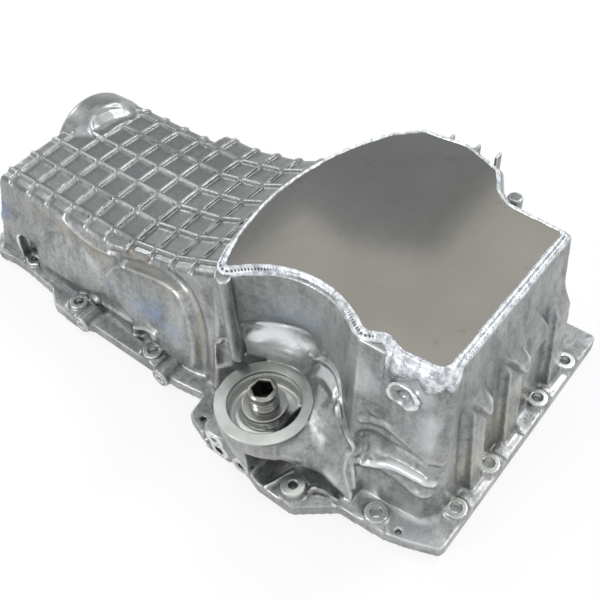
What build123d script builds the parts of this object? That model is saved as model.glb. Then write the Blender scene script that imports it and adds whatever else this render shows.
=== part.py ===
from build123d import *
import os

os.makedirs("parts", exist_ok=True)

# Frame: +Z up, the gasket face lies on z = 0, +X points to the rear of the engine,
# and the origin is the middle of the bottom of the bounding box. All sizes are in mm.

# Whole pan
length = 514.0
width = 282.0
rail_thickness = 11.0
wall = 4.0
plate_top = 150.0
plate_thickness = 3.0

rear_x = length / 2
front_x = -length / 2
far_y = width / 2
near_y = -width / 2
rim_z = plate_top - plate_thickness
crank_y = 7.5

# Shallow front section: near and far edges of its floor, feet of its drafted sides
tray_near_y = -80.5
tray_far_y = 68.5
tray_wide_far_y = 82.5
tray_wide_x = -95.0
tray_shoulder_z = 94.0
tray_crown = 4.0
tray_near_foot_y = -96.0
tray_far_foot_y = 93.0
tray_shoulder_radius = 9.0
tray_front_top_x = -221.0
tray_front_foot_x = -241.0
ramp_start_x = -55.0
ramp_bend_x = -7.0
ramp_end_x = 50.0
ramp_bend_rise = 11.0
ramp_end_rise = 36.0

# Ribs over the shallow section
rib_pitch = 25.0
rib_width = 3.0
rib_height = 3.0
rib_first_x = -207.5
rib_first_y = -67.9
rib_columns = 10
rib_rows = 6
rib_foot_z = 86.0

# Dome over the front end of the shallow section
dome_y = 29.5
dome_z = 64.0
dome_radius = 49.0
dome_front_x = -230.0
dome_length = 24.0
dome_edge = 9.0
dome_tail_length = 26.0
dome_tail_radius = 38.0

# Filter pad with its oil groove, collar and nipple
pad_diameter = 73.0
filter_x = 105.0
filter_y = near_y + pad_diameter / 2
pad_z = 56.0
pad_drop = 12.0
groove_diameter = 55.0
groove_depth = 14.0
collar_diameter = 33.0
collar_drop = 2.0
nipple_diameter = 22.0
nipple_shank_diameter = 20.0
nipple_hex = 14.0
nipple_rise = 18.0
nipple_depth = 14.0
nipple_bore_depth = 26.0

# Rail bosses: through holes along the rail, blind holes on the near side
bolt_hole = 9.0
bolt_boss = 17.5
bolt_boss_rise = 4.0
rear_bolt_x = rear_x - bolt_boss / 2
rear_bolt_offsets = (-80.5, -36.0, 36.0, 80.5)
near_bolts = ((-196.0, -88.5), (-120.0, -100.5), (-26.0, -100.5))
rear_side_bolts = ((206.5, -109.0), (206.5, 118.0))
side_boss = 17.0
side_hole = 5.0
side_hole_depth = 14.0
side_boss_z = 9.0
side_boss_x = (-102.0, -4.0)
side_boss_face_y = -116.0
lobe_bolt = (149.0, -129.5)
lobe_bolt_boss = 19.0
lobe_bolt_hole = 7.0
lobe_bolt_rise = 9.0

# Oil ports on the near face under the filter pad
port_setback = 5.0
port_block_near_y = near_y + port_setback
port_block_far_y = -100.0
port_block_x = (66.0, 91.0)
port_block_top = 27.0
port_small = (77.5, 19.0, 4.5)
port_large = (81.0, 8.0, 8.0)
port_depth = 20.0
plug_x = 104.0
plug_z = 11.0
plug_boss = 17.0
plug_diameter = 9.0
plug_length = 8.0
plug_hex = 5.0
plug_hex_depth = 4.0

# Skirt of the filter pad, its shoulder towards the rear and the bolt pocket below them
skirt_center = (118.0, -96.0)
skirt_radius = 42.0
shoulder_back_y = -75.0
shoulder_sections = [
    (128.0, (-131.0, 45.0), (-104.0, 53.0), (-84.0, 66.0)),
    (160.0, (-114.0, 36.0), (-101.0, 53.0), (-90.0, 78.0)),
    (186.0, (-112.0, 12.0), (-108.0, 16.0), (-102.0, 24.0)),
]
pocket_x = (114.0, 182.0)
pocket_top = 40.0
pocket_mid = (150.0, 30.0)
pocket_back_y = -104.0
mound_far_y = -64.0
mound_far = [(114, 46), (117, 60), (132, 91), (145, 98), (152, 101), (155, 90), (159, 76), (161, 46)]
mound_near_y = -92.0
mound_near = [(118, 46), (122, 54), (131, 60), (143, 65), (152, 68), (156, 67), (159, 64), (161, 46)]
inlet_chord = 16.5
inlet_depth = 12.0
nipple_chamfer = 1.5
plug_recess = 1.0

# Cut-off drain boss and the pilasters of the rear wall
drain_x = 209.0
drain_z = 126.0
drain_diameter = 22.0
drain_face_y = -86.0
drain_hole = 8.0
pilaster_reach = 7.0
pilasters = (
    (-54.0, -38.0, 98.0, 110.0),
    (-8.0, 12.0, 92.0, 101.0),
    (60.0, 79.0, 88.0, 104.0),
)

# Near wall of the sump: raised strip, long trough, rib and niche beside the filter pad
strip_x = (174.0, 190.0)
strip_foot_z = 88.0
strip_rise = 2.5
trough_x = (192.0, 224.0)
trough_y = -100.0
trough_z = 63.0
trough_radius = 17.0
trough_leg_foot = (186.0, -106.0, 44.0)
trough_leg_radius = 12.0
trough_block_x = (166.0, 240.0)
trough_block_y = (-108.0, -78.0)
trough_block_z = (24.0, 86.0)
filter_rib = (66.5, -89.0)
filter_rib_radius = 5.0
filter_rib_foot_z = 62.0
niche = (57.0, -97.0)
niche_radius = 8.0
niche_z = (46.0, 82.0)

# Far wall of the sump: slim upright ribs and a round boss
far_ribs_x = (107.0, 130.0, 148.0)
far_rib_width = 2.5
far_rib_face_y = 134.0
far_boss = (172.5, 117.0)
far_boss_radius = 6.0
far_boss_top = 126.0

# Wrench recess over the front bolt and small features of the rail
recess_radius = 13.0
recess_top = 40.0
rail_pad = (251.5, -5.0)
rail_pad_size = (11.0, 24.0)
rail_pad_rise = 3.0
small_holes = ((226.0, -110.0), (53.0, -123.0))
small_hole = 4.5

# Outline of the rail: near side from front to rear, rear edge, far side, front edge
rail_points = [
    (front_x, -86.0),
    (-250.0, -94.0),
    (-239.0, -101.0),
    (-217.0, -98.0),
    (-196.0, -99.0),
    (-156.0, -103.0),
    (-140.0, -114.0),
    (-112.0, -116.0),
    (-90.0, -110.0),
    (12.0, -110.0),
    (38.0, -106.0),
    (41.0, -127.0),
    (62.0, -134.0),
    (104.0, -135.0),
    (122.0, near_y),
    (156.0, near_y),
    (182.0, -120.0),
    (218.0, -117.5),
    (234.0, -113.0),
    (rear_x, -104.0),
    (rear_x, 128.5),
    (182.0, 128.5),
    (168.0, far_y),
    (62.0, far_y),
    (46.0, 126.0),
    (-225.0, 126.0),
    (front_x, 104.0),
]
rail_corner = 5.0

# Corners of the sump wall at the rim and at the foot, from the near left corner on
rim_corners = [
    (62.0, -96.5),
    (67.0, 105.0),
    (87.0, 124.0),
    (126.0, 126.5),
    (162.0, 113.0),
    (174.0, 93.0),
    (184.0, 85.0),
    (233.5, 80.5),
    (233.5, -66.0),
    (227.0, -76.0),
    (198.0, -78.0),
    (184.0, -73.0),
    (172.0, -79.0),
    (162.0, -75.0),
]
foot_corners = [
    (42.0, -104.0),
    (60.0, 110.0),
    (84.0, 132.0),
    (128.0, 134.0),
    (168.0, 120.0),
    (179.0, 99.0),
    (188.0, 92.0),
    (243.0, 88.0),
    (243.0, -83.0),
    (234.0, -96.0),
    (206.0, -99.0),
    (190.0, -101.0),
    (176.0, -106.0),
    (164.0, -100.0),
]
rear_near_corner = 8
wall_near_corner = 9
last_corner = 13
rim_left_mid = (37.0, 8.0)
foot_left_mid = (28.0, 4.0)
rim_filter_mid = (116.0, -61.0)
foot_filter_mid = (106.0, -72.0)
rim_width = 8.0
sump_wall = 5.0
bead_width = 5.5
bead_rise = 1.0
bead_crest = 1.5


def tray_section(x, rise, far_edge, inset, lift):
    """Cross-section of the shallow part on the plane of this x: drafted sides, crowned floor."""
    shoulder = tray_shoulder_z + rise + lift - inset
    near_shoulder = (tray_near_y + inset, shoulder)
    far_shoulder = (far_edge - inset, shoulder)
    middle = ((tray_near_y + far_edge) / 2, shoulder + tray_crown)
    near_foot = (tray_near_foot_y + inset, 0)
    far_foot = (tray_far_foot_y - inset, 0)
    with BuildSketch(Plane.YZ.offset(x)) as section:
        with BuildLine():
            Line(near_foot, near_shoulder)
            ThreePointArc(near_shoulder, middle, far_shoulder)
            Polyline(far_shoulder, far_foot, near_foot)
        make_face()
        fillet(section.vertices().group_by(Axis.Y)[-1], tray_shoulder_radius)
    return section.sketch


def tray_body(inset=0.0, lift=0.0):
    """The shallow part with its ramp up to the sump: shrunk by the inset, its floor raised by the lift."""
    top_x = tray_front_top_x + inset
    foot_x = tray_front_foot_x + inset
    clear_z = tray_shoulder_z + 2 * tray_crown + rib_height
    clear_x = top_x + (clear_z - tray_shoulder_z) * (top_x - foot_x) / tray_shoulder_z
    stations = [
        (foot_x, tray_wide_x + inset, 0.0, 0.0, tray_far_y),
        (tray_wide_x + inset, ramp_start_x, 0.0, 0.0, tray_wide_far_y),
        (ramp_start_x, ramp_bend_x, 0.0, ramp_bend_rise, tray_wide_far_y),
        (ramp_bend_x, ramp_end_x, ramp_bend_rise, ramp_end_rise, tray_wide_far_y),
    ]
    with BuildPart() as body:
        for x_from, x_to, rise_from, rise_to, far_edge in stations:
            start = tray_section(x_from, rise_from, far_edge, inset, lift)
            end = tray_section(x_to, rise_to, far_edge, inset, lift)
            loft([start, end], ruled=True)
        with BuildSketch(Plane.XZ):
            with BuildLine():
                Polyline((foot_x, 0), (clear_x, clear_z), (foot_x, clear_z), close=True)
            make_face()
        extrude(amount=width, both=True, mode=Mode.SUBTRACT)
    return body.part


def dome_body(inset=0.0):
    """Half-round bulge over the front end: rounded front edge, short barrel, cone towards the floor."""
    barrel_end_x = dome_front_x + dome_length
    with BuildPart() as bulge:
        with BuildSketch(Plane.YZ.offset(dome_front_x + inset)):
            with Locations((dome_y, dome_z)):
                Circle(dome_radius - inset)
        extrude(amount=dome_length - inset)
        if not inset:
            fillet(bulge.edges().group_by(Axis.X)[0], dome_edge)
        with BuildSketch(Plane.YZ.offset(barrel_end_x)):
            with Locations((dome_y, dome_z)):
                Circle(dome_radius - inset)
        with BuildSketch(Plane.YZ.offset(barrel_end_x + dome_tail_length)):
            with Locations((dome_y, dome_z)):
                Circle(dome_tail_radius - inset)
        loft()
    return bulge.part


def sump_section(height, corners, left_mid, filter_mid, inset=0.0, corner_radius=wall):
    """One level of the sump wall: straight sides, a bowed left side and the filter clearance arc."""
    with BuildSketch(Plane.XY.offset(height)) as section:
        with BuildLine():
            ThreePointArc(corners[0], left_mid, corners[1])
            Polyline(*corners[1:])
            ThreePointArc(corners[-1], filter_mid, corners[0])
        make_face()
        if inset:
            offset(amount=-inset, kind=Kind.INTERSECTION)
        if corner_radius:
            fillet(section.vertices(), corner_radius)
    return section.sketch


def sump_body(foot_inset=0.0, rim_inset=0.0, corner_radius=wall):
    """The deep part of the pan as a ruled body between its foot and its rim."""
    foot = sump_section(0.0, foot_corners, foot_left_mid, foot_filter_mid, foot_inset, corner_radius)
    rim = sump_section(rim_z, rim_corners, rim_left_mid, rim_filter_mid, rim_inset, corner_radius)
    with BuildPart() as body:
        loft([foot, rim], ruled=True)
    return body.part


def trough_body():
    """Round-ended trough along the near wall, with a leg down at its front end."""
    front_end = Vector(trough_x[0], trough_y, trough_z)
    leg = Plane(origin=trough_leg_foot, z_dir=front_end - Vector(*trough_leg_foot))
    with BuildPart() as trough:
        with BuildSketch(Plane.YZ.offset(trough_x[0])):
            with Locations((trough_y, trough_z)):
                Circle(trough_radius)
        extrude(amount=trough_x[1] - trough_x[0])
        with Locations(*[(x, trough_y, trough_z) for x in trough_x]):
            Sphere(trough_radius)
        with BuildSketch(leg):
            Circle(trough_leg_radius)
        extrude(amount=(front_end - Vector(*trough_leg_foot)).length)
    return trough.part


def backing(shape, body):
    """The part of a shape that lies inside a body: the wall behind a recess."""
    with BuildPart() as kept:
        add(shape)
        add(body, mode=Mode.INTERSECT)
    return kept.part


def block(x_range, y_range, z_range):
    """Upright block between two values of each axis."""
    with BuildPart() as body:
        with BuildSketch(Plane.XY.offset(z_range[0])):
            with Locations((sum(x_range) / 2, sum(y_range) / 2)):
                Rectangle(x_range[1] - x_range[0], y_range[1] - y_range[0])
        extrude(amount=z_range[1] - z_range[0])
    return body.part


def upright(center, radius, low, high):
    """Upright cylinder between two heights."""
    with BuildPart() as bar:
        with BuildSketch(Plane.XY.offset(low)):
            with Locations(center):
                Circle(radius)
        extrude(amount=high - low)
    return bar.part


def side_cylinder(x, z, near, far, diameter):
    """Cylinder that runs along Y between two values of y."""
    with BuildPart() as bar:
        with BuildSketch(Plane.XZ.offset(-far)):
            with Locations((x, z)):
                Circle(diameter / 2)
        extrude(amount=far - near)
    return bar.part


# Ribs: upright strips of a square grid, trimmed to the floor raised by the rib height
with BuildPart() as ribs:
    with BuildSketch(Plane.XY.offset(rib_foot_z)):
        row_middle = (tray_front_foot_x + ramp_end_x) / 2
        for row in range(rib_rows):
            with Locations((row_middle, rib_first_y + row * rib_pitch)):
                Rectangle(ramp_end_x - tray_front_foot_x, rib_width)
        for column in range(rib_columns):
            x = rib_first_x + column * rib_pitch
            far_edge = tray_far_y if x < tray_wide_x else tray_wide_far_y
            with Locations((x, (tray_near_y + far_edge) / 2)):
                Rectangle(rib_width, far_edge - tray_near_y)
    extrude(amount=plate_top - rib_foot_z)
    add(tray_body(lift=rib_height), mode=Mode.INTERSECT)


# The casting
bolt_places = list(near_bolts)
bolt_places += [(x, 2 * crank_y - y) for x, y in near_bolts]
bolt_places += [(rear_bolt_x, crank_y + shift) for shift in rear_bolt_offsets]
bolt_places += list(rear_side_bolts)
pad_z_low = pad_z - pad_drop
collar_z = pad_z - collar_drop
filter_center = (filter_x, filter_y)

with BuildPart() as pan_casting:
    with BuildSketch():
        with BuildLine():
            Polyline(*rail_points, close=True)
        make_face()
        fillet(vertices(), rail_corner)
    extrude(amount=rail_thickness)
    add(tray_body())
    add(ribs.part)
    add(dome_body())
    add(sump_body())

    # Filter pad, its skirt that spreads to the sump wall, and the port block beside it
    with BuildSketch(Plane.XY.offset(pad_z_low)):
        with Locations(filter_center):
            Circle(pad_diameter / 2)
    extrude(amount=pad_drop)
    with BuildSketch(Plane.XY):
        with Locations(skirt_center):
            Circle(skirt_radius)
    with BuildSketch(Plane.XY.offset(pad_z_low)):
        with Locations(filter_center):
            Circle(pad_diameter / 2)
    loft()
    shoulder_outlines = []
    for x, lip, middle, top in shoulder_sections:
        with BuildSketch(Plane.YZ.offset(x), mode=Mode.PRIVATE) as outline:
            with BuildLine():
                back = ((shoulder_back_y, top[1]), (shoulder_back_y, 0))
                Polyline((lip[0], 0), lip, middle, top, *back, close=True)
            make_face()
        shoulder_outlines.append(outline.sketch)
    loft(shoulder_outlines, ruled=True)
    mound_outlines = []
    for y, corners in ((mound_far_y, mound_far), (mound_near_y, mound_near)):
        with BuildSketch(Plane.XZ.offset(-y), mode=Mode.PRIVATE) as outline:
            with BuildLine():
                Polyline(*corners, close=True)
            make_face()
        mound_outlines.append(outline.sketch)
    loft(mound_outlines, ruled=True)
    add(upright(filter_center, pad_diameter / 2, pad_z, rim_z), mode=Mode.SUBTRACT)
    add(block(port_block_x, (port_block_near_y, port_block_far_y), (0, port_block_top)))

    # Rib and strip of the near wall, upright ribs and boss of the far wall
    add(upright(filter_rib, filter_rib_radius, filter_rib_foot_z, rim_z))
    rim_y = rim_corners[wall_near_corner][1]
    foot_y = foot_corners[wall_near_corner][1]
    strip_low_y = rim_y + (foot_y - rim_y) * (rim_z - strip_foot_z) / rim_z
    with BuildSketch(Plane.YZ.offset(strip_x[0])):
        with BuildLine():
            Polyline(
                (rim_y - strip_rise, rim_z),
                (strip_low_y - strip_rise, strip_foot_z),
                (rim_y + wall, strip_foot_z),
                (rim_y + wall, rim_z),
                close=True,
            )
        make_face()
    extrude(amount=strip_x[1] - strip_x[0])
    for x in far_ribs_x:
        rib_x = (x - far_rib_width / 2, x + far_rib_width / 2)
        add(block(rib_x, (far_rib_face_y - 2 * wall, far_rib_face_y), (0, rim_z - bead_rise)))
    add(upright(far_boss, far_boss_radius, 0, far_boss_top))

    # Bosses beside the rail
    with BuildSketch():
        with Locations(lobe_bolt):
            Circle(lobe_bolt_boss / 2)
    extrude(amount=rail_thickness + lobe_bolt_rise)
    for x in side_boss_x:
        add(side_cylinder(x, side_boss_z, side_boss_face_y, tray_near_foot_y, side_boss))
    add(side_cylinder(plug_x, plug_z, port_block_near_y, port_block_far_y, plug_boss))
    add(side_cylinder(drain_x, drain_z, drain_face_y, rim_corners[last_corner][1], drain_diameter))

    # Pilasters of the rear wall, each with a sloping top
    rim_x = rim_corners[rear_near_corner][0]
    foot_x = foot_corners[rear_near_corner][0]
    for y_from, y_to, z_face, z_end in pilasters:
        face_x = rim_x + (foot_x - rim_x) * (rim_z - z_face) / rim_z + pilaster_reach
        end_x = rim_x + (foot_x - rim_x) * (rim_z - z_end) / rim_z
        with BuildSketch(Plane.XZ.offset(-y_to)):
            with BuildLine():
                inner_x = rim_x - wall
                face = ((foot_x + pilaster_reach, 0), (face_x, z_face))
                Polyline((inner_x, 0), *face, (end_x, z_end), (inner_x, z_end), close=True)
            make_face()
        extrude(amount=y_to - y_from)

    # Everything below the gasket face goes, then the hollow inside
    split(bisect_by=Plane.XY, keep=Keep.TOP)
    add(tray_body(inset=wall), mode=Mode.SUBTRACT)
    add(dome_body(inset=wall), mode=Mode.SUBTRACT)
    add(sump_body(sump_wall, rim_width, corner_radius=0.0), mode=Mode.SUBTRACT)

    # Recesses cut from outside, each with a wall left behind it
    front_bolt = near_bolts[0]
    add(backing(upright(front_bolt, recess_radius + wall, 0, recess_top + wall), tray_body()))
    add(upright(front_bolt, recess_radius, rail_thickness, recess_top), mode=Mode.SUBTRACT)
    add(backing(block(trough_block_x, trough_block_y, trough_block_z), sump_body()))
    add(trough_body(), mode=Mode.SUBTRACT)
    add(upright(niche, niche_radius, *niche_z), mode=Mode.SUBTRACT)

    # Bolt bosses and the pad on the rail
    with BuildSketch():
        with Locations(*bolt_places):
            Circle(bolt_boss / 2)
    extrude(amount=rail_thickness + bolt_boss_rise)
    with BuildSketch():
        with Locations(rail_pad):
            Rectangle(*rail_pad_size)
    extrude(amount=rail_thickness + rail_pad_rise)

    # Bolt pocket under the skirt
    with BuildSketch(Plane.XZ.offset(-pocket_back_y)):
        with BuildLine():
            corner = (pocket_x[0], rail_thickness)
            front_top = (pocket_x[0], pocket_top)
            rear_end = (pocket_x[1], rail_thickness)
            Polyline(front_top, corner, rear_end)
            ThreePointArc(rear_end, pocket_mid, front_top)
        make_face()
    extrude(amount=pocket_back_y - near_y + wall, mode=Mode.SUBTRACT)
    with BuildSketch(Plane.XY.offset(rail_thickness)):
        with Locations(lobe_bolt):
            Circle(lobe_bolt_boss / 2)
    extrude(amount=lobe_bolt_rise)

    # Oil groove of the filter pad, its inlet and the bore of the nipple
    with BuildSketch(Plane.XY.offset(pad_z)):
        with Locations(filter_center):
            Circle(groove_diameter / 2)
            Circle(collar_diameter / 2, mode=Mode.SUBTRACT)
    extrude(amount=-groove_depth, mode=Mode.SUBTRACT)
    with BuildSketch(Plane.XY.offset(pad_z)):
        with Locations(filter_center):
            Circle(collar_diameter / 2)
    extrude(amount=-collar_drop, mode=Mode.SUBTRACT)
    with BuildSketch(Plane.XY.offset(collar_z)):
        with Locations(filter_center):
            Circle(nipple_shank_diameter / 2)
    extrude(amount=-nipple_bore_depth, mode=Mode.SUBTRACT)
    with BuildSketch(Plane.XY.offset(pad_z - groove_depth)):
        with Locations(filter_center):
            Circle(groove_diameter / 2)
        with Locations((filter_x + inlet_chord - groove_diameter, filter_y)):
            Rectangle(2 * groove_diameter, 2 * groove_diameter, mode=Mode.SUBTRACT)
    extrude(amount=-inlet_depth, mode=Mode.SUBTRACT)

    # Rail holes, side holes and ports
    with BuildSketch():
        with Locations(*bolt_places):
            Circle(bolt_hole / 2)
        with Locations(lobe_bolt):
            Circle(lobe_bolt_hole / 2)
        with Locations(*small_holes):
            Circle(small_hole / 2)
    extrude(amount=pad_z_low / 2, mode=Mode.SUBTRACT)
    for x in side_boss_x:
        hole_end_y = side_boss_face_y + side_hole_depth
        add(side_cylinder(x, side_boss_z, side_boss_face_y, hole_end_y, side_hole), mode=Mode.SUBTRACT)
    port_end_y = port_block_near_y + port_depth
    for x, z, diameter in (port_small, port_large, (plug_x, plug_z, plug_diameter)):
        add(side_cylinder(x, z, port_block_near_y, port_end_y, diameter), mode=Mode.SUBTRACT)
    drain_hole_end_y = drain_face_y + wall
    add(side_cylinder(drain_x, drain_z, drain_face_y, drain_hole_end_y, drain_hole), mode=Mode.SUBTRACT)
pan_casting.part.label = "pan_casting"
export_step(pan_casting.part, "parts/pan_casting.step")

# Sheet plate that closes the sump
with BuildPart() as sump_plate:
    add(sump_section(rim_z, rim_corners, rim_left_mid, rim_filter_mid, inset=bead_width))
    extrude(amount=plate_thickness)
sump_plate.part.label = "sump_plate"
export_step(sump_plate.part, "parts/sump_plate.step")

# Weld bead around the plate
with BuildPart() as weld_bead:
    bead_top = plate_top + bead_rise
    loft(
        [
            sump_section(rim_z, rim_corners, rim_left_mid, rim_filter_mid),
            sump_section(bead_top, rim_corners, rim_left_mid, rim_filter_mid, inset=bead_width - bead_crest),
        ],
        ruled=True,
    )
    add(sump_section(rim_z, rim_corners, rim_left_mid, rim_filter_mid, inset=bead_width))
    extrude(amount=bead_top - rim_z, mode=Mode.SUBTRACT)
weld_bead.part.label = "weld_bead"
export_step(weld_bead.part, "parts/weld_bead.step")

# Threaded nipple for the oil filter, with a hexagon bore
with BuildPart() as filter_nipple:
    with BuildSketch(Plane.XY.offset(collar_z)):
        with Locations(filter_center):
            Circle(nipple_diameter / 2)
    extrude(amount=nipple_rise)
    with BuildSketch(Plane.XY.offset(collar_z)):
        with Locations(filter_center):
            Circle(nipple_shank_diameter / 2)
    extrude(amount=-nipple_depth)
    chamfer(filter_nipple.edges().group_by(Axis.Z)[-1], nipple_chamfer)
    with BuildSketch(Plane.XY.offset(collar_z - nipple_depth)):
        with Locations(filter_center):
            RegularPolygon(nipple_hex / 2, 6, major_radius=False)
    extrude(amount=nipple_depth + nipple_rise, mode=Mode.SUBTRACT)
filter_nipple.part.label = "filter_nipple"
export_step(filter_nipple.part, "parts/filter_nipple.step")

# Screw plug in the end of the oil gallery
with BuildPart() as gallery_plug:
    plug_face_y = port_block_near_y + plug_recess
    add(side_cylinder(plug_x, plug_z, plug_face_y, plug_face_y + plug_length, plug_diameter))
    with BuildSketch(Plane.XZ.offset(-plug_face_y - plug_hex_depth)):
        with Locations((plug_x, plug_z)):
            RegularPolygon(plug_hex / 2, 6, major_radius=False)
    extrude(amount=plug_hex_depth, mode=Mode.SUBTRACT)
gallery_plug.part.label = "gallery_plug"
export_step(gallery_plug.part, "parts/gallery_plug.step")
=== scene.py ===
# %% [markdown]
# An engine oil pan, cast in aluminium, with a sheet plate welded over its sump. It is
# photographed upside down, resting on its gasket face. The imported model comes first, as a
# fixed frame: every piece below is placed by it, so nothing has to be fitted by eye.

# %% Load the frame
import math

import bpy
import numpy as np
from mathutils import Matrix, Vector


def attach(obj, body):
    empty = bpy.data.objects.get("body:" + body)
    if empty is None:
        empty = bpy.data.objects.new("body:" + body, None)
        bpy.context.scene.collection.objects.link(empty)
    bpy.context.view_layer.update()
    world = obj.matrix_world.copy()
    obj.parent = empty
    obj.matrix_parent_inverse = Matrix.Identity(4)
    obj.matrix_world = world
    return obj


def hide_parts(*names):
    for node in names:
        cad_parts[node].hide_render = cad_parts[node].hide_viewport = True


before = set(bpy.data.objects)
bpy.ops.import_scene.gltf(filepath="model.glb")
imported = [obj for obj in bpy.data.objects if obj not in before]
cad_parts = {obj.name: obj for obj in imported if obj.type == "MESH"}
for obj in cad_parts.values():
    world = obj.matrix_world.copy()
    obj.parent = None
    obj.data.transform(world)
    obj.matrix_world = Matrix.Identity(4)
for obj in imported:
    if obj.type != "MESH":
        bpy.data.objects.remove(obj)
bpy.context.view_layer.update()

MM = 0.001

# %% [markdown]
# The camera of a product photo stands high and fairly close, so the plate looks larger than
# the far end. A focal length of 49 mm on a 36 mm sensor gives the same perspective.


# %% Camera
def linked(name, data):
    """A new object that shows the data, linked to the scene."""
    made = bpy.data.objects.new(name, data)
    bpy.context.scene.collection.objects.link(made)
    return made


CAMERA_PLACE_MM = (364.8, -338.9, 536.2)
CAMERA_TURN_DEG = (42.644, 3.394, 39.051)
FOCAL_MM = 49.29
SENSOR_MM = 36.0
NEAREST_SEEN = 0.01

camera_data = bpy.data.cameras.new("studio_camera")
camera_data.lens = FOCAL_MM
camera_data.sensor_width = SENSOR_MM
camera_data.clip_start = NEAREST_SEEN
camera = linked("studio_camera", camera_data)
camera.location = Vector(CAMERA_PLACE_MM) * MM
camera.rotation_euler = [math.radians(angle) for angle in CAMERA_TURN_DEG]
bpy.context.scene.camera = camera
bpy.context.scene.view_settings.view_transform = "Standard"
print("camera to origin in m:", round(camera.location.length, 3))

# %% [markdown]
# A few small tools serve every material. One turns a colour from the hex form of a paint or
# screen chart into the linear numbers that a renderer adds up. Another adds a node, sets its
# values and joins its inputs, so a material reads as a list of steps.


# %% Colour and node helpers
def linear(hex_colour):
    """sRGB hex to linear: c / 12.92 below 0.04045, else ((c + 0.055) / 1.055) ** 2.4."""
    parts = [int(hex_colour[i : i + 2], 16) / 255 for i in (1, 3, 5)]
    turned = [c / 12.92 if c <= 0.04045 else ((c + 0.055) / 1.055) ** 2.4 for c in parts]
    return (*turned, 1.0)


def new_material(name):
    """An empty node material and its tree."""
    made = bpy.data.materials.new(name)
    made.use_nodes = True
    made.node_tree.nodes.clear()
    return made, made.node_tree


def node(tree, kind, settings=(), inputs=()):
    """Adds one node: settings are its own properties, inputs are numbers, colours or outputs."""
    made = tree.nodes.new(kind)
    for key, value in dict(settings).items():
        setattr(made, key, value)
    for key, value in dict(inputs).items():
        if isinstance(value, bpy.types.NodeSocket):
            tree.links.new(value, made.inputs[key])
        else:
            made.inputs[key].default_value = value
    return made


def calc(tree, operation, *values):
    """One sum, such as MULTIPLY or MAXIMUM, on numbers or outputs."""
    return node(tree, "ShaderNodeMath", {"operation": operation}, enumerate(values)).outputs[0]


def surface(tree, shader):
    """Makes a shader the surface of its material."""
    node(tree, "ShaderNodeOutputMaterial", (), {"Surface": shader.outputs[0]})


# %% [markdown]
# The pan stands on a white table in a white room. The table is white by its own colour, and
# for the camera and for reflections it also glows at a strength of one, which is white. The
# rest of it is a plain diffuse surface, so the soft shadow of the pan stays on it.


# %% Table and room
def seen_directly(tree):
    """1 for rays from the camera, off a shine or through glass, and 0 for all others."""
    path = node(tree, "ShaderNodeLightPath")
    seen = calc(tree, "MAXIMUM", path.outputs["Is Camera Ray"], path.outputs["Is Glossy Ray"])
    return calc(tree, "MAXIMUM", seen, path.outputs["Is Transmission Ray"])


TABLE_SIDE = 8.0
TABLE_GAP = 0.0002
SHADOW_SHARE = 0.22
ROOM_LIGHT = 0.75
WHITE = (1, 1, 1, 1)

half = TABLE_SIDE / 2
table_corners = [(-half, -half, 0), (half, -half, 0), (half, half, 0), (-half, half, 0)]
table_mesh = bpy.data.meshes.new("table")
table_mesh.from_pydata(table_corners, [], [(0, 1, 2, 3)])
table = linked("table", table_mesh)
table.location.z = -TABLE_GAP

table_paint, tree = new_material("white_table_laminate")
glowing = calc(tree, "MULTIPLY", seen_directly(tree), 1 - SHADOW_SHARE)
plain = node(tree, "ShaderNodeBsdfDiffuse", (), {"Color": linear("#fafafa")})
glow = node(tree, "ShaderNodeEmission", (), {"Color": WHITE, "Strength": 1.0})
surface(tree, node(tree, "ShaderNodeMixShader", (),
                   {0: glowing, 1: plain.outputs[0], 2: glow.outputs[0]}))
table_mesh.materials.append(table_paint)

room = bpy.data.worlds.new("white_room")
bpy.context.scene.world = room
room.use_nodes = True
tree = room.node_tree
tree.nodes.clear()
strength = node(tree, "ShaderNodeMix", {"data_type": "FLOAT"},
                {0: seen_directly(tree), 2: ROOM_LIGHT, 3: 1.0})
air = node(tree, "ShaderNodeBackground", (), {"Color": WHITE, "Strength": strength.outputs[0]})
node(tree, "ShaderNodeOutputWorld", (), {"Surface": air.outputs[0]})
print("table of", TABLE_SIDE, "m and room are set")

# %% [markdown]
# Bare metal shows its surroundings, and in an all white room it would look flat. A
# photographer hangs dark cards round it, which show only as soft dark bands in the metal.
# Five small lamps draw the bright lines along ribs and rounded edges: the two strongest
# stand behind the pan and in front of it, two at its ends, and one lights the filter ring.


# %% Lamps and cards
def aim(place, target):
    """The turn that points an object's -Z axis from one point at another."""
    return (Vector(target) - Vector(place)).to_track_quat("-Z", "Y").to_euler()


# Name, place in m, side in m, watts.
LAMPS = [
    ("high_lamp", (0.42, 1.0, 1.35), 0.35, 7.0),
    ("front_lamp", (-0.45, -1.5, 0.62), 0.5, 8.0),
    ("left_lamp", (-1.5, 0.1, 0.75), 0.4, 4.0),
    ("rear_lamp", (1.5, 0.45, 0.65), 0.4, 3.0),
    ("ring_lamp", (-0.45, 0.3, 1.6), 0.25, 0.8),
]
LAMP_TARGET = (0, 0, 0.06)
for name, place, side, watts in LAMPS:
    lamp_data = bpy.data.lights.new(name, "AREA")
    lamp_data.size = side
    lamp_data.energy = watts
    lamp = linked(name, lamp_data)
    lamp.location = place
    lamp.rotation_euler = aim(place, LAMP_TARGET)

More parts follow.
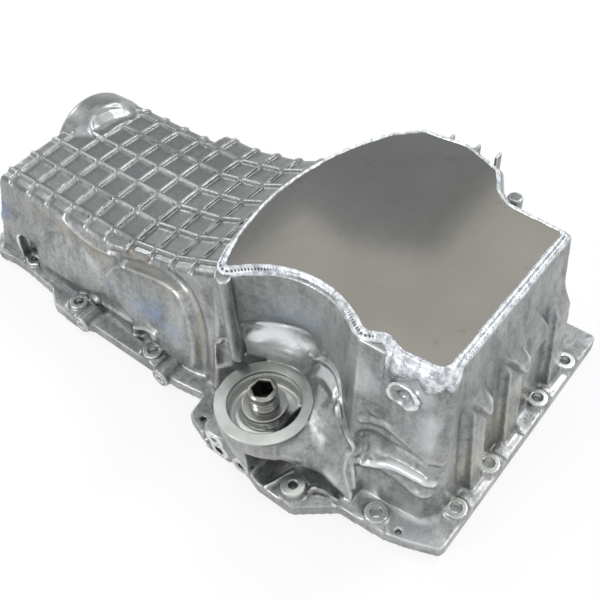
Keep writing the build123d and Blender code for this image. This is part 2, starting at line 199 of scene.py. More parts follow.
# Name, brightness, corners in m. The felt is a slightly cold grey.
CARDS = [
    ("dark_card_over_plate", 0.49,
     [(-1.15, 1.25, 1.6), (-0.80, 1.20, 1.6), (-0.56, 1.32, 1.6),
      (-0.58, 1.70, 1.6), (-0.50, 2.3, 1.6), (-1.3, 2.1, 1.6)]),
    ("grey_card_over_tray", 0.5,
     [(-2.9, 0.3, 1.62), (-1.06, 0.3, 1.62), (-1.06, 2.2, 1.62), (-2.9, 2.2, 1.62)]),
    ("dark_card_left", 0.25,
     [(-1.6, -1.2, 0.25), (-1.6, -0.3, 0.25), (-1.6, -0.3, 1.1), (-1.6, -1.2, 1.1)]),
    ("dark_card_right", 0.25,
     [(1.5, 0.9, 0.15), (1.0, 1.5, 0.15), (1.0, 1.5, 0.9), (1.5, 0.9, 0.9)]),
    ("dark_card_low_front", 0.8,
     [(-0.9, -0.55, 0.01), (0.1, -0.8, 0.01), (0.1, -1.3, 0.01), (-0.9, -1.2, 0.01)]),
]
CARD_TINT = (0.93, 1.0, 1.08)
for name, brightness, card_corners in CARDS:
    card_paint, tree = new_material(name + "_felt")
    colour = (*[brightness * share for share in CARD_TINT], 1)
    surface(tree, node(tree, "ShaderNodeEmission", (), {"Color": colour, "Strength": 1.0}))
    card_mesh = bpy.data.meshes.new(name)
    card_mesh.from_pydata(card_corners, [], [tuple(range(len(card_corners)))])
    card_mesh.materials.append(card_paint)
    card = linked(name, card_mesh)
    card.visible_camera = False
    card.visible_diffuse = False
    card.visible_shadow = False
print("lamps:", len(LAMPS), "cards:", len(CARDS))

# %% [markdown]
# The casting comes out of the mould with every edge rounded and every corner filled, which
# the plain solids do not have. A copy of the solid is turned into an even skin of small
# faces by a voxel remesh, and then the skin relaxes: each point moves towards the middle of
# its neighbours, far in hollow corners and a little on outer edges. A bevel on every edge
# would be the other way, but it fails where many ribs and walls meet.


# %% Skin tools
def cad_copy(name):
    """A merged copy of a CAD node's mesh, whose loose triangles meet exactly."""
    held = linked(name + "_copy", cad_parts[name].data.copy())
    weld = held.modifiers.new("weld", "WELD")
    weld.merge_threshold = 1e-6
    return held


def applied(held, name):
    """The object's mesh with all its modifiers applied, in a new mesh; the old one goes."""
    bpy.context.view_layer.update()
    worked_out = held.evaluated_get(bpy.context.evaluated_depsgraph_get())
    done = bpy.data.meshes.new_from_object(worked_out)
    done.name = name
    bpy.data.objects.remove(held)
    return done


def points_of(mesh):
    """Vertex positions as an array with one row per vertex."""
    flat = np.empty(len(mesh.vertices) * 3, np.float32)
    mesh.vertices.foreach_get("co", flat)
    return flat.reshape(-1, 3).astype(np.float64)


def edges_of(mesh):
    """Vertex pairs of the edges as an array."""
    flat = np.empty(len(mesh.edges) * 2, np.int32)
    mesh.edges.foreach_get("vertices", flat)
    return flat.reshape(-1, 2)


def normals_of(mesh, points):
    """Vertex normals: the cross products of each face's diagonals, summed at its corners."""
    corners = np.empty(len(mesh.loops), np.int32)
    mesh.loops.foreach_get("vertex_index", corners)
    quads = corners.reshape(-1, 4)
    crossed = np.cross(points[quads[:, 2]] - points[quads[:, 0]],
                       points[quads[:, 3]] - points[quads[:, 1]])
    summed = np.zeros_like(points)
    for corner in range(4):
        for axis in range(3):
            summed[:, axis] += np.bincount(quads[:, corner], crossed[:, axis], len(points))
    return summed / np.maximum(np.linalg.norm(summed, axis=1, keepdims=True), 1e-12)


def neighbour_mean(points, edges):
    """The mean of each vertex's neighbours."""
    count = np.bincount(edges.ravel(), minlength=len(points))[:, None]
    total = np.zeros_like(points)
    for axis in range(3):
        total[:, axis] += np.bincount(edges[:, 0], points[edges[:, 1], axis], len(points))
        total[:, axis] += np.bincount(edges[:, 1], points[edges[:, 0], axis], len(points))
    return total / np.maximum(count, 1)


# %% Remesh the casting
VOXEL = 1.0 * MM

held = cad_copy("pan_casting")
remesh = held.modifiers.new("voxel", "REMESH")
remesh.mode = "VOXEL"
remesh.voxel_size = VOXEL
skin = applied(held, "casting_skin")
points = points_of(skin)
edges = edges_of(skin)
print("skin points:", len(points), "faces:", len(skin.polygons))

# %% [markdown]
# Hollow corners fill with a fillet of several millimetres, outer edges round off by about
# one. Points of a machined face get no freedom, so it stays flat and sharp: the gasket face,
# the filter ring, the tops of the bolt bosses and the walls of the bolt holes and ports. The
# block round the two ports is one deep box in the solid, and its corners are pushed back here
# to the rounder form of the real one.


# %% Where the machined faces are
NO_LIMIT = 1000.0
CRANK_Y = 7.5
NEAR_BOLTS = [(-196.0, -88.5), (-120.0, -100.5), (-26.0, -100.5)]
BOLT_PLACES = NEAR_BOLTS + [(x, 2 * CRANK_Y - y) for x, y in NEAR_BOLTS]
BOLT_PLACES += [(206.5, -109.0), (206.5, 118.0)]
BOLT_PLACES += [(248.25, CRANK_Y + shift) for shift in (-80.5, -36.0, 36.0, 80.5)]
PORTS = [(77.5, 19.0, 2.25), (81.0, 8.0, 4.0)]  # x, z, radius of the hole
RING_TOP, COLLAR_TOP, BOSS_TOP, DRAIN_TOP = 56.0, 54.0, 15.0, 20.0
TRAY_END, TRAY_FLOOR = 62, 84
PORT_BLOCK = ((62, -NO_LIMIT, 1.0), (91.5, -126, 30))
SHOULDERS = [((-NO_LIMIT, -NO_LIMIT, 70), (TRAY_END, -66, NO_LIMIT)),
             ((40, -NO_LIMIT, -NO_LIMIT), (190, -106, 42)),
             ((232, -NO_LIMIT, 20), (NO_LIMIT, NO_LIMIT, 130))]


def in_box(places, low, high):
    """True for points between two opposite corners of a box."""
    return np.all((places > low) & (places < high), axis=1)


def from_ports(places):
    """How far each point lies from the axis of the nearer port; the axes run along Y."""
    return np.min([np.hypot(places[:, 0] - port_x, places[:, 2] - port_z)
                   for port_x, port_z, _ in PORTS], axis=0)


print("bolts:", len(BOLT_PLACES), "ports:", len(PORTS))

# %% Relax the skin
FILLET_ROUNDS = 22
FILL_SHARE = 0.75
SLIDE_SHARE = 0.3
EDGE_SHARE = 0.05
FLOOR_SHARE = 0.25
SHOULDER_SHARE = 0.2
BOLT_HOLE, PORT_WALL = 5.3, 0.9
PORT_FLAT, PORT_FADE, PORT_BACK = 8.5, 8.0, 7.0

free = np.ones(len(points))
places = points / MM
x, y, z = places.T
for bolt_x, bolt_y in BOLT_PLACES:
    free[(np.hypot(x - bolt_x, y - bolt_y) < BOLT_HOLE) & (z < BOSS_TOP + 1)] = 0.0
for port_x, port_z, radius in PORTS:
    free[(np.hypot(x - port_x, z - port_z) < radius + PORT_WALL) & (y < -112)] = 0.0
back = PORT_BACK * np.clip((from_ports(places) - PORT_FLAT) / PORT_FADE, 0, 1) ** 1.3
points[:, 1] += np.where(in_box(places, *PORT_BLOCK), back, 0) * MM
normals = normals_of(skin, points)
flat_up = normals[:, 2] > 0.9
free[z < 1.0] = 0.0
free[flat_up & (np.abs(z - RING_TOP) < 0.8)] = 0.0
free[flat_up & (np.abs(z - BOSS_TOP) < 0.8)] = 0.0
free[(x < TRAY_END) & (z > TRAY_FLOOR)] = FLOOR_SHARE
edge_share = np.full(len(points), EDGE_SHARE)
for low, high in SHOULDERS:
    edge_share[in_box(places, low, high)] = SHOULDER_SHARE
for turn in range(FILLET_ROUNDS):
    pull = neighbour_mean(points, edges) - points
    if turn % 4 == 0:
        normals = normals_of(skin, points)
    outward = np.einsum("ij,ij->i", pull, normals)
    share = np.where(outward > 0, FILL_SHARE, edge_share) * free
    slide = pull - normals * outward[:, None]
    points += normals * (outward * share)[:, None] + slide * (SLIDE_SHARE * free)[:, None]
print("relaxed", FILLET_ROUNDS, "rounds, points held still:", int((free == 0).sum()))

# %% [markdown]
# Much of what makes a casting look real is too soft or too small for the solids: a wall that
# bulges where the pattern maker wanted more clearance, a rolled lip, a pressed hollow over a
# bolt. Each one is a stroke here, as with clay. A stroke follows a line drawn through a few
# points, and moves the skin outwards or inwards by a smooth bump across that line. A panel
# does the same for all that lies inside an outline. Sculpting by hand would do it too, but
# numbers can be read, changed and run again.


# %% Stroke tools
NEAR, UP, RIGHT = (0, -1, 0), (0, 0, 1), (1, 0, 0)
NEAR_UP = (0, -0.8, 0.6)


def smooth_step(share):
    """0 below 0 and 1 above 1, with 3 t^2 - 2 t^3 between."""
    share = np.clip(share, 0, 1)
    return share * share * (3 - 2 * share)


def smooth_line(path, steps=6):
    """A smooth line through the points: on each run, a cubic whose slope at a point is half
    the step from the point before it to the point after it."""
    path = np.array(path, float)
    if len(path) < 3:
        return path
    wide = np.vstack([2 * path[0] - path[1], path, 2 * path[-1] - path[-2]])
    t = np.linspace(0, 1, steps, endpoint=False)[:, None, None]
    a, b, c, d = wide[:-3], wide[1:-2], wide[2:-1], wide[3:]
    runs = 0.5 * (2 * b + (c - a) * t + (2 * a - 5 * b + 4 * c - d) * t**2
                  + (3 * b - a - 3 * c + d) * t**3)
    return np.vstack([runs.transpose(1, 0, 2).reshape(-1, path.shape[1]), path[-1:]])


def distance_to(places, path):
    """The shortest distance to a line of straight runs. On a run, the nearest point lies at
    the share (place - start) . run / run . run of its length, kept between 0 and 1."""
    best = np.full(len(places), np.inf)
    for start, end in zip(path[:-1], path[1:]):
        run = end - start
        share = np.clip((places - start) @ run / (run @ run), 0, 1)
        best = np.minimum(best, np.linalg.norm(places - start - share[:, None] * run, axis=1))
    return best


def inside_of(flat, outline):
    """True inside an outline: a ray to one side crosses its edges an odd number of times."""
    crossed = np.zeros(len(flat), bool)
    for (x0, y0), (x1, y1) in zip(outline, np.roll(outline, -1, axis=0)):
        spans = (y0 > flat[:, 1]) != (y1 > flat[:, 1])
        with np.errstate(divide="ignore", invalid="ignore"):
            crossed ^= spans & (flat[:, 0] < (x1 - x0) * (flat[:, 1] - y0) / (y1 - y0) + x0)
    return crossed


def depth_in(flat, outline):
    """How far each point lies inside an outline; outside it the depth is negative."""
    edge = distance_to(flat, np.vstack([outline, outline[:1]]))
    return edge * np.where(inside_of(flat, outline), 1, -1)


def turned_to(facing):
    """True where the skin faces a direction, to within about 75 degrees."""
    return normals @ np.array(facing) > 0.25


def stroke(path, reach, rise, facing=NEAR):
    """Moves the skin out by rise * (1 - (distance / reach)^2)^2, where it faces that way."""
    line = smooth_line(path)
    near = in_box(places, line.min(axis=0) - reach, line.max(axis=0) + reach)
    chosen = np.flatnonzero(near & turned_to(facing))
    share = np.clip(1 - (distance_to(places[chosen], line) / reach) ** 2, 0, 1) ** 2
    lift[chosen] += rise * share


def panel(outline, axes, box, rise, soften, facing):
    """Lifts the skin inside an outline, with an edge that eases over the soften width."""
    outline = smooth_line(np.vstack([outline, outline[:1]]))[:-1]
    chosen = np.flatnonzero(in_box(places, *np.array(box, float)) & turned_to(facing))
    depth = depth_in(places[chosen][:, axes], outline)
    lift[chosen] += rise * smooth_step(0.5 + depth / soften)


def lift_range():
    """The lowest and the highest lift so far, in mm."""
    return round(float(lift.min()), 1), round(float(lift.max()), 1)


places = points / MM
normals = normals_of(skin, points)
lift = np.zeros(len(points))
print("stroke tools are set for", len(lift), "points")

# %% [markdown]
# The near wall of the tray bulges between its bolts: two panels, with a fold beside the
# larger one. The strokes are the lip under the floor's edge, the swelling at the front end
# and small ribs and hollows above the bolts. All are in mm: path, then reach, then rise.

# %% The tray's near wall
panel([(-84, 60), (-66, 80), (-36, 90), (-8, 95), (10, 92), (19, 74), (22, 48), (20, 20),
       (4, 14), (-20, 17), (-60, 32)],
      [0, 2], [(-100, -110, 8), (40, -70, 104)], 4.6, 7.0, NEAR)
stroke([(-70, -82, 86), (-36, -81, 97), (-4, -81, 101), (17, -82, 96), (27, -85, 74),
        (29, -88, 44), (27, -91, 14)], 8, -2.8)
panel([(-172, 22), (-158, 50), (-128, 66), (-104, 66), (-92, 46), (-98, 30), (-130, 22)],
      [0, 2], [(-190, -110, 8), (-70, -70, 84)], 2.6, 10.0, NEAR)
stroke([(-134, -81, 91), (-119, -82, 84), (-94, -83, 81), (-69, -82, 84), (-56, -82, 84)],
       3.5, 1.6)
stroke([(-226, -88, 50), (-190, -86, 56), (-168, -86, 60)], 10, 2.2)
stroke([(-168, -88, 20), (-171, -87, 40), (-160, -86, 60), (-140, -84, 70)], 5, -2.2)
stroke([(-206, -83, 30), (-200, -83, 22), (-194, -84, 16)], 15, 5.0)
stroke([(-54, -95, 15), (-47, -93, 24), (-33, -91, 33), (-22, -91, 33)], 6, 3.6)
stroke([(-47, -95, 12), (-38, -93, 24), (-26, -92, 25), (-18, -95, 12)], 6, -2.8)
stroke([(-122, -95, 12), (-114, -93, 22), (-103, -93, 22), (-97, -95, 12)], 6, -2.6)
stroke([(-98, -94, 20), (-72, -93, 21), (-52, -93, 21)], 4, 1.6)
print("lift on the near wall of the tray, in mm:", *lift_range())

# %% [markdown]
# Behind the filter the wall is hollow like a spoon, with a groove along its top, a swelling
# below and a raised line at its end. The filter's skirt hangs in soft folds to the rail.

# %% The wall behind the filter
stroke([(70, -84, 97), (80, -74, 95), (91, -69, 96), (104, -66, 98), (115, -66, 100),
        (124, -68, 101), (132, -70, 103)], 3.5, -1.6)
stroke([(76, -78, 88), (83, -74, 93), (92, -69, 95), (105, -66, 96), (118, -67, 94)],
       12, -2.6)
stroke([(72, -80, 66), (82, -75, 69), (95, -69, 71), (107, -67, 72), (120, -68, 76)],
       17, 2.6)
stroke([(120, -68, 84), (129, -69, 86), (140, -71, 90), (151, -76, 90), (157, -81, 83),
        (160, -88, 78), (162, -90, 72)], 4, 2.2, NEAR_UP)
stroke([(128, -80, 68), (138, -82, 74), (146, -86, 74)], 8, -2.4, NEAR_UP)
stroke([(112, -70, 59), (122, -69, 77), (132, -70, 94)], 4, 2.2)
stroke([(43, -90, 62), (55, -91, 76), (61, -89, 78), (66, -87, 73)], 2.4, 1.8)
stroke([(42, -91, 58), (43, -93, 40), (45, -98, 18)], 2.4, 1.5)
stroke([(66, -88, 76), (71, -85, 70), (74, -83, 64), (72, -84, 57)], 3.5, 2.5)
stroke([(158, -84, 80), (164, -89, 70), (170, -93, 62), (176, -95, 56), (178, -96, 50),
        (175, -99, 42), (176, -104, 32), (181, -107, 22), (186, -110, 12)], 3.2, 2.2)
stroke([(180, -89, 64), (182, -92, 52), (178, -98, 42), (180, -100, 34), (185, -105, 20)],
       2.4, 1.6)
print("lift behind the filter, in mm:", *lift_range())

# %% [markdown]
# Past the filter a trough with a rolled lip runs along the wall. Above it a drain boss was
# cut off: a rough ring with a hollow and three lumps. Low ribs cross the rail.

# %% The trough, the cut-off boss and the rail's ribs
TROUGH_LIP = [(186, -95, 39), (191, -94, 41), (200, -91, 48), (209, -89, 50),
              (219, -88.5, 50.5), (229, -88, 51), (235, -85, 48)]
stroke([(181, -97, 40), (192, -96, 43), (203, -95, 44), (213, -95, 42), (224, -93, 38),
        (234, -88, 38)], 4.5, 2.0, NEAR_UP)
stroke(TROUGH_LIP, 4.5, 2.2, NEAR_UP)
stroke([(180, -89, 80), (190, -86, 83), (200, -86, 86), (212, -87, 82), (226, -86, 76),
        (236, -79, 68)], 4.5, 1.8)
stroke([(183, -88, 62), (184, -90, 52), (184, -95, 42)], 2.6, 2.0)
stroke([(157, -121, 11), (166, -117, 11), (178, -117, 11)], 2.4, 1.8, UP)
stroke([(164, -123, 11), (172, -120, 11), (180, -121, 11)], 2.0, 1.2, UP)

BOSS_X, BOSS_Y, BOSS_Z, BOSS_RING = 209, -85, 129, 10.5
turns = np.linspace(0, 2 * math.pi, 15)
boss_ring = np.stack([BOSS_X + BOSS_RING * np.cos(turns), 0 * turns + BOSS_Y,
                      BOSS_Z + BOSS_RING * np.sin(turns)], axis=1)
stroke(boss_ring, 3.2, 1.9)
stroke([(206, -86, 124), (211, -86, 129)], 6, -2.2)
stroke([(217, -85, 137), (220, -85, 131)], 5, 2.4)
stroke([(199, -85, 124), (200, -85, 120)], 4, 1.6)
stroke([(213, -85, 119), (216, -85, 122)], 4, 1.8)
stroke([(139, -118, 11), (135, -130, 11), (131, -139, 11)], 2.2, 3.0, UP)
stroke([(160, -118, 11), (155, -128, 11), (149, -137, 11)], 2.2, 1.8, UP)
print("lift on the whole filter side, in mm:", *lift_range())

# %% [markdown]
# The dome over the front end has a shallow dent with a soft rim. The rear wall has three
# flutes and two raised pads, outlines of y and z, which fade out towards the top.

# %% The dome, the rear wall and the rail
stroke([(-190, 18, 104), (-187, 30, 105), (-184, 44, 103)], 11, -3.5, (0.4, 0, 0.9))
stroke([(-181, 6, 99), (-196, 8, 104), (-203, 20, 108), (-203, 34, 109), (-196, 50, 106),
        (-184, 60, 98)], 4, 1.6, UP)
stroke([(234, -84, 118), (235, -82, 128), (236, -80, 138)], 7, 3.0, (0.6, -0.7, 0.3))
stroke([(228, -84, 130), (222, -83, 139)], 6, 2.5)

WALL_PADS = [
    np.array([(-23, 130), (-9, 128), (9, 123), (28, 117), (42, 103), (53, 84), (54, 74),
              (37, 73), (14, 77), (3, 87)], float),
    np.array([(-60, 118), (-56, 122), (-47, 119), (-35, 108), (-27, 91), (-22, 77),
              (-28, 74), (-36, 79), (-44, 92)], float)]
PAD_BOX = [(224, -64, 62), (262, 64, 140)]
PAD_FADE_FROM, PAD_FADE_OVER = 88, 36
for outline in WALL_PADS:
    panel(outline, [1, 2], PAD_BOX, 4.0, 4.5, (0.9, 0, 0.2))
on_wall = in_box(places, PAD_BOX[0], NO_LIMIT) & (places[:, 1] < PAD_BOX[1][1])
lift[on_wall] *= 1 - smooth_step((places[on_wall, 2] - PAD_FADE_FROM) / PAD_FADE_OVER)

stroke([(236, -58, 100), (241, -60, 60), (246, -62, 20)], 5, -1.5, RIGHT)
stroke([(236, -30, 96), (240, -32, 60), (245, -34, 18)], 5, -1.8, RIGHT)
stroke([(237, 22, 96), (241, 20, 60), (246, 18, 18)], 5, -1.8, RIGHT)
stroke([(216, -112, 11), (222, -120, 11), (228, -128, 11)], 1.4, -0.8, UP)
print("lift of all strokes, in mm:", *lift_range())

# %% [markdown]
# The strokes are applied at once, and three light rounds of relaxing melt them in.

# %% Settle the strokes
SETTLE_ROUNDS, SETTLE_SHARE, LEAST_LIFT = 3, 0.4, 0.02

moved = np.abs(lift) > LEAST_LIFT
points += normals * (lift * MM)[:, None]
for turn in range(SETTLE_ROUNDS):
    pull = neighbour_mean(points, edges) - points
    points += pull * (SETTLE_SHARE * free * moved)[:, None]
print("moved points:", int(moved.sum()))

# %% [markdown]
# Where a casting has been cut or stained, and where it gets painted light and shade, is known
# by place, so it is written on the skin as six numbers at each point: painted shade, cut,
# proud, polish with painted highlight, blue and brown. Edges that stand proud get a painted
# highlight and hollow corners get painted shade: how far a point stands above the mean of its
# neighbours says which it is. A painted picture would need the skin to be unfolded first, and
# numbers on the points do not.


# %% Mark tools
def spot(centre, radius, soft=0.6):
    """1 inside a ball and 0 outside, easing over the soft share of its radius."""
    away = (places - np.array(centre, float)) / np.broadcast_to(radius, 3)
    return smooth_step((1 - np.linalg.norm(away, axis=1)) / soft)


def spots(*marks):
    """The strongest of several spots, each given as a strength and the values of spot."""
    return np.maximum.reduce([strength * spot(*shape) for strength, *shape in marks])


def write_mark(mesh, name, values):
    """Writes one number per point of a mesh, which a material reads by its name."""
    mark = mesh.attributes.new(name, "FLOAT", "POINT")
    mark.data.foreach_set("value", np.ascontiguousarray(values, np.float32).ravel())


places = points / MM
height = places[:, 2]
facing = normals_of(skin, points)
# How far a point stands proud decides its painted highlight or painted shade.
proud = np.einsum("ij,ij->i", points - neighbour_mean(points, edges), facing) / VOXEL
for turn in range(2):
    proud = 0.5 * proud + 0.5 * neighbour_mean(proud[:, None] * np.ones(3), edges)[:, 0]
print("proud, low to high:", np.percentile(proud, [5, 50, 95]).round(3))

# %% Cut faces
FILTER_PLACE = (105.0, -104.5)
DRAIN_PLACE = (149.0, -129.5)
DEEP_PAINTED_SHADE = -1.0


def level_at(top, within):
    """True on level faces at a height, give or take the given distance."""
    return (facing[:, 2] > 0.93) & (np.abs(height - top) < within)


def from_axis(place):
    """How far each point lies from an upright axis."""
    return np.hypot(places[:, 0] - place[0], places[:, 1] - place[1])


from_filter = from_axis(FILTER_PLACE)
cut = level_at(RING_TOP, 0.5) & (from_filter < 37.2)
cut |= level_at(COLLAR_TOP, 0.7) & (from_filter < 17.2)
cut |= level_at(BOSS_TOP, 0.6)
cut |= level_at(DRAIN_TOP, 0.7) & (from_axis(DRAIN_PLACE) < 10)
cut |= (from_filter < 28.2) & (height > 41) & (height < RING_TOP + 0.2)
cut |= (from_ports(places) < 8.6) & (facing[:, 1] < -0.85) & (places[:, 1] < -134.5)
# Painted shade in the inlet pocket under the filter ring: its points count as a deep hollow.
inlet_pocket = (from_filter < 27) & (height < 41) & (height > 26) & (places[:, 0] > 117)
proud[inlet_pocket] = DEEP_PAINTED_SHADE
print("cut points:", int(cut.sum()), "in the inlet pocket:", int(inlet_pocket.sum()))

# %% Painted highlights and shade, films and stains
LIP_BOX = ((178, -NO_LIMIT, 30), (NO_LIMIT, -76, 62))
REAR_BOX = ((226, -NO_LIMIT, 60), (NO_LIMIT, NO_LIMIT, 132))
PAD_PAINTED_SHADE, PAD_PAINTED_SHADOW = 0.5, -0.11

# Polish and painted highlight: these spots and the trough's lip get a lighter colour where the
# metal shows a highlight, and a smoother finish.
polish_and_painted_highlight = spots(
    (0.9, (92, -74, 82), (34, 18, 22)), (0.4, (140, -78, 84), (16, 16, 14)),
    (0.4, (218, -84, 128), (20, 12, 18)), (0.5, (228, -84, 100), (12, 10, 30)),
    (0.35, (236, -104, 11), (30, 20, 8)), (0.35, (170, -84, 120), (26, 14, 24)),
    (0.2, (120, -68, 112), (62, 24, 30)), (0.3, (148, -80, 84), (22, 20, 20)),
    (0.3, (-205, 26, 96), 42), (0.3, (208, -96, 22), (34, 18, 14)),
    (0.6, (165, -112, 24), (14, 10, 12)))
near_lip = np.flatnonzero(in_box(places, *LIP_BOX))
lip_reach = distance_to(places[near_lip], smooth_line(TROUGH_LIP))
lip_polish_and_painted_highlight = 0.85 * smooth_step((4.5 - lip_reach) / 2.5)
polish_and_painted_highlight[near_lip] = np.maximum(polish_and_painted_highlight[near_lip], lip_polish_and_painted_highlight)
blue = spots(
    (0.7, (-6, -88, 54), (26, 14, 16), 0.5), (0.5, (-60, -88, 52), (36, 14, 14)),
    (0.5, (-228, -86, 62), (20, 20, 16)), (0.35, (100, -66, 112), (40, 16, 12)))
brown = spots(
    (0.6, (-30, -82, 92), (60, 12, 7)), (0.6, (25, -88, 60), (5, 12, 40)),
    (0.6, (-120, -82, 78), (50, 12, 8)), (0.5, (46, -96, 60), (8, 10, 44)),
    (0.35, (245, -20, 40), (12, 80, 30)))

# Painted shade: the upward faces of the tray's floor are darker, like a dark reflection, and the
# rear wall's pads are darker inside their outlines.
painted_shade = 1.0 * ((height > TRAY_FLOOR) & (places[:, 0] < 70) & (facing[:, 2] > 0.8))
rear_face = np.flatnonzero(in_box(places, *REAR_BOX) & (facing[:, 0] > 0.3))
rear_flat = places[rear_face][:, [1, 2]]
for outline in WALL_PADS:
    depth = depth_in(rear_flat, outline)
    pad_painted_shade = PAD_PAINTED_SHADE * smooth_step(0.5 + depth / 6)
    painted_shade[rear_face] = np.maximum(painted_shade[rear_face], pad_painted_shade)
    # Painted shadow along the lower edge of each pad, written as a low proud value.
    pad_painted_shadow_edge = (depth < 0.5) & (depth > -2.5) & (rear_flat[:, 1] < 100)
    proud[rear_face] = np.where(pad_painted_shadow_edge, PAD_PAINTED_SHADOW, proud[rear_face])

MARKS = {"painted_shade": painted_shade, "cut": cut, "proud": np.clip(proud, -1, 1),
         "polish_and_painted_highlight": polish_and_painted_highlight, "blue": blue, "brown": brown}
for name, values in MARKS.items():
    write_mark(skin, name, values)
print("mean of each mark:", {name: round(float(MARKS[name].mean()), 3) for name in MARKS})

# %% [markdown]
# A skin of one millimetre has more faces than a part for a library should have, and most of
# them lie on flat walls. A decimate modifier merges those first and keeps the curved ones.

# %% Casting piece
TRIANGLES = 195000

skin.vertices.foreach_set("co", points.astype(np.float32).ravel())
skin.update()
casting = linked("casting_body", skin)
thin = casting.modifiers.new("thin", "DECIMATE")
thin.ratio = min(1.0, TRIANGLES / (2 * len(skin.polygons)))
skin = applied(casting, "casting_body")
casting = linked("casting_body", skin)
skin.polygons.foreach_set("use_smooth", np.ones(len(skin.polygons), bool))
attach(casting, "root")
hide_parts("pan_casting")
print("casting faces:", len(skin.polygons))

# %% [markdown]
# Cast aluminium straight from the mould is grey rather than bright: its skin is rough at the
# scale of a tenth of a millimetre, and the mould's release agent leaves clouds of lighter and
# darker metal and a few brown stains. Some spots are smoother, as if polished, and get a
# painted highlight. The metal flowed upwards along the walls, so the marks there run up and
# down. The grain is too fine to show at this size and is drawn about six times as coarse.


# %% Steps of a metal
def place_in(tree):
    """The place on the object, in its own frame."""
    return node(tree, "ShaderNodeTexCoord").outputs["Object"]


def mark_in(tree, name):
    """One of the marks written on the points."""
    return node(tree, "ShaderNodeAttribute", {"attribute_name": name}).outputs["Fac"]


def cloud(tree, place, size_mm, detail, roughness, stretch=(1, 1, 1), distort=0.0):
    """Noise whose patches are about size_mm across, pulled out along the axes by stretch. At
    a scale of 1 a patch is about half a metre wide."""
    pulled = node(tree, "ShaderNodeMapping", (),
                  {"Vector": place, "Scale": [1 / share for share in stretch]})
    return node(tree, "ShaderNodeTexNoise", (), {
        "Vector": pulled.outputs[0], "Scale": 500.0 / size_mm, "Detail": detail,
        "Roughness": roughness, "Distortion": distort}).outputs["Fac"]


def ramp(tree, value, *stops):
    """A colour ramp through stops of position and hex colour."""
    made = node(tree, "ShaderNodeValToRGB", (), {"Fac": value})
    band = made.color_ramp
    while len(band.elements) < len(stops):
        band.elements.new(0.5)
    for element, (position, hex_colour) in zip(band.elements, stops):
        element.position = position
        element.color = linear(hex_colour)
    return made.outputs["Color"]


def mixed_colour(tree, share, low, high, kind="MIX"):
    """One colour mixed into another."""
    return node(tree, "ShaderNodeMix", {"data_type": "RGBA", "blend_type": kind},
                {0: share, 6: low, 7: high}).outputs[2]


def spread(tree, value, low, high, new_low, new_high):
    """Turns the range from low to high into another one, and stops at its ends."""
    return node(tree, "ShaderNodeMapRange", (), {
        "Value": value, 1: low, 2: high, 3: new_low, 4: new_high}).outputs["Result"]


def bump(tree, height, strength, distance, **below):
    """Small relief for the light only, on top of an earlier one given as Normal."""
    return node(tree, "ShaderNodeBump", (), {
        "Height": height, "Strength": strength, "Distance": distance, **below}).outputs["Normal"]


def metal_surface(tree, colour, roughness, metallic=1.0, **relief):
    """The metal of a material, with its relief given as Normal, joined to the output."""
    surface(tree, node(tree, "ShaderNodeBsdfPrincipled", (), {
        "Base Color": colour, "Metallic": metallic, "Roughness": roughness, **relief}))


print("steps of a metal are set")


# %% Cast aluminium
def cast_colour(tree, place, small, speck):
    """Clouds of grey, fine grain, drag lines up the walls, and thin brown and blue films."""
    big = cloud(tree, place, 42, 5, 0.62, distort=0.4)
    tone = ramp(tree, big, (0.34, "#8f9293"), (0.50, "#a2a5a4"), (0.66, "#b8bab8"))
    patch = ramp(tree, small, (0.34, "#8d9092"), (0.50, "#ffffff"), (0.68, "#ffffff"))
    tone = mixed_colour(tree, 0.45, tone, patch, "MULTIPLY")
    grain = ramp(tree, speck, (0.36, "#8a8a8a"), (0.50, "#e4e4e4"), (0.64, "#ffffff"))
    tone = mixed_colour(tree, 0.38, tone, grain, "MULTIPLY")
    drag = cloud(tree, place, 3.2, 2, 0.6, stretch=(1, 1, 10))
    drag = ramp(tree, drag, (0.38, "#8c8c8c"), (0.52, "#ffffff"))
    tone = mixed_colour(tree, 0.22, tone, drag, "MULTIPLY")
    stain = cloud(tree, place, 30, 3, 0.55, stretch=(1, 1, 1.6))
    stain = ramp(tree, stain, (0.57, "#000000"), (0.72, "#505050"))
    tone = mixed_colour(tree, stain, tone, linear("#a39681"))
    film = ramp(tree, cloud(tree, place, 36, 3, 0.5), (0.60, "#000000"), (0.74, "#4a4a4a"))
    return mixed_colour(tree, film, tone, linear("#929fb0"))


def marked_colour(tree, place, small, tone, marks):
    """The marks over that colour, from the softest film to the cut faces."""
    ragged = ramp(tree, cloud(tree, place, 10, 4, 0.65), (0.36, "#404040"), (0.58, "#ffffff"))
    for name, hex_colour in (("brown", "#a2937c"), ("blue", "#8fa6cc")):
        share = calc(tree, "MULTIPLY", marks[name], ragged)
        tone = mixed_colour(tree, share, tone, linear(hex_colour))
    # Painted highlight on the polished spots.
    tone = mixed_colour(tree, marks["polish_and_painted_highlight"], tone, linear("#dfe3e6"))
    # Painted shade on the tray's floor and on the rear wall's pads, in clouds.
    cloudy = spread(tree, small, 0.3, 0.7, 0.9, 0.5)
    share = calc(tree, "MULTIPLY", marks["painted_shade"], cloudy)
    tone = mixed_colour(tree, share, tone, linear("#7d807e"))
    # Painted shade in hollow corners and a painted highlight on edges that stand proud.
    corner_painted_shade = spread(tree, marks["proud"], -0.03, -0.14, 0.0, 0.65)
    tone = mixed_colour(tree, corner_painted_shade, tone, linear("#555755"))
    edge_painted_highlight = spread(tree, marks["proud"], 0.03, 0.16, 0.0, 0.75)
    tone = mixed_colour(tree, edge_painted_highlight, tone, linear("#eceeee"))
    return mixed_colour(tree, marks["cut"], tone, linear("#dcdedb"))


